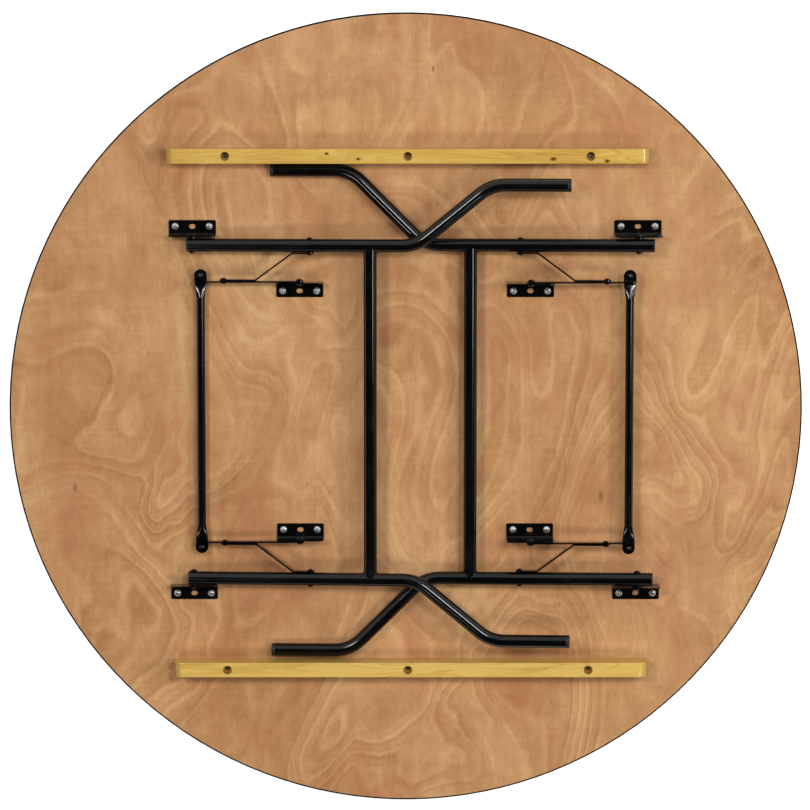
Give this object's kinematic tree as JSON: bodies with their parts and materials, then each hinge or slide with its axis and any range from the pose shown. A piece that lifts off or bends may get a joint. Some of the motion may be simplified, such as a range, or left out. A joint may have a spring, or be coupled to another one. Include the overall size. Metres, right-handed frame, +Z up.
{
  "type": "banquet table",
  "caption": "Round folding banquet table lying face down: plywood top with a black vinyl edge, pine stacking runners, and black tubular leg frames folded across the underside.",
  "frame": {"origin": "centre of the use face, which lies on the floor", "axes": "+Z up out of the underside, +X from the left leg frame's hinges towards the right leg frame's, +Y towards the rear runner"},
  "size_m": [1.524, 1.5239, 0.1057],
  "materials": {
    "plywood": "satin",
    "edge_vinyl": "satin",
    "pine": "gloss",
    "powder_coat": "semi-gloss",
    "zinc": "satin",
    "black_plastic": "matte"
  },
  "bodies": {
    "top": {"tabletop_panel": "plywood", "edge_band": "edge_vinyl", "rear_runner": "pine", "front_runner": "pine", "runner_screws": "zinc", "left_rear_hinge_bracket": "powder_coat", "left_rear_stay_bracket": "powder_coat", "left_front_hinge_bracket": "powder_coat", "left_front_stay_bracket": "powder_coat", "left_bracket_screws": "zinc", "left_hinge_rivets": "powder_coat", "left_hinge_washers": "powder_coat", "left_stay_rivets": "powder_coat", "right_rear_hinge_bracket": "powder_coat", "right_rear_stay_bracket": "powder_coat", "right_front_hinge_bracket": "powder_coat", "right_front_stay_bracket": "powder_coat", "right_bracket_screws": "zinc", "right_hinge_rivets": "powder_coat", "right_hinge_washers": "powder_coat", "right_stay_rivets": "powder_coat"},
    "left_leg_frame": {"left_rear_leg_tube": "powder_coat", "left_rear_foot_glide": "black_plastic", "left_front_leg_tube": "powder_coat", "left_front_foot_glide": "black_plastic", "left_crossbar": "powder_coat", "left_tube_plugs": "black_plastic", "left_brace_rivets": "powder_coat"},
    "left_lock_frame": {"left_rear_lock_link": "powder_coat", "left_front_lock_link": "powder_coat", "left_lock_bar": "powder_coat", "left_bar_rivets": "powder_coat", "left_lock_knee_rivets": "powder_coat"},
    "left_rear_brace": {"left_rear_brace_link": "powder_coat", "left_rear_knee_rivet": "powder_coat"},
    "left_front_brace": {"left_front_brace_link": "powder_coat", "left_front_knee_rivet": "powder_coat"},
    "right_leg_frame": {"right_rear_leg_tube": "powder_coat", "right_rear_foot_glide": "black_plastic", "right_front_leg_tube": "powder_coat", "right_front_foot_glide": "black_plastic", "right_crossbar": "powder_coat", "right_tube_plugs": "black_plastic", "right_brace_rivets": "powder_coat"},
    "right_lock_frame": {"right_rear_lock_link": "powder_coat", "right_front_lock_link": "powder_coat", "right_lock_bar": "powder_coat", "right_bar_rivets": "powder_coat", "right_lock_knee_rivets": "powder_coat"},
    "right_rear_brace": {"right_rear_brace_link": "powder_coat", "right_rear_knee_rivet": "powder_coat"},
    "right_front_brace": {"right_front_brace_link": "powder_coat", "right_front_knee_rivet": "powder_coat"}
  },
  "joints": [
    {"name": "left_leg_fold", "type": "hinge", "parent": "top", "child": "left_leg_frame", "pos_m": [-0.408, 0, 0.045], "axis": [0, -1, 0], "range_deg": [0, 87.99]},
    {"name": "left_lock_fold", "type": "hinge", "parent": "top", "child": "left_lock_frame", "pos_m": [-0.203, 0, 0.045], "axis": [0, 1, 0], "range_deg": [0, 45.95]},
    {"name": "left_rear_brace_fold", "type": "hinge", "parent": "left_leg_frame", "child": "left_rear_brace", "pos_m": [-0.183, 0.307, 0.06], "axis": [0, -1, 0], "range_deg": [0, 40.75]},
    {"name": "left_front_brace_fold", "type": "hinge", "parent": "left_leg_frame", "child": "left_front_brace", "pos_m": [-0.183, -0.307, 0.06], "axis": [0, -1, 0], "range_deg": [0, 40.75]},
    {"name": "right_leg_fold", "type": "hinge", "parent": "top", "child": "right_leg_frame", "pos_m": [0.444, 0, 0.065], "axis": [0, 1, 0], "range_deg": [0, 94.56]},
    {"name": "right_lock_fold", "type": "hinge", "parent": "top", "child": "right_lock_frame", "pos_m": [0.239, 0, 0.065], "axis": [0, -1, 0], "range_deg": [0, 47.31]},
    {"name": "right_rear_brace_fold", "type": "hinge", "parent": "right_leg_frame", "child": "right_rear_brace", "pos_m": [0.21876, 0.307, 0.05416], "axis": [0, 1, 0], "range_deg": [0, 41.97]},
    {"name": "right_front_brace_fold", "type": "hinge", "parent": "right_leg_frame", "child": "right_front_brace", "pos_m": [0.21876, -0.307, 0.05416], "axis": [0, 1, 0], "range_deg": [0, 41.97]}
  ],
  "couplings": [
    {"joint": "left_lock_fold", "follows": "left_leg_fold", "ratio": 0.52217},
    {"joint": "left_rear_brace_fold", "follows": "left_leg_fold", "ratio": 0.46308},
    {"joint": "left_front_brace_fold", "follows": "left_leg_fold", "ratio": 0.46308},
    {"joint": "right_leg_fold", "follows": "left_leg_fold", "ratio": 1.0747},
    {"joint": "right_lock_fold", "follows": "left_leg_fold", "ratio": 0.53766},
    {"joint": "right_rear_brace_fold", "follows": "left_leg_fold", "ratio": 0.47691},
    {"joint": "right_front_brace_fold", "follows": "left_leg_fold", "ratio": 0.47691}
  ]
}
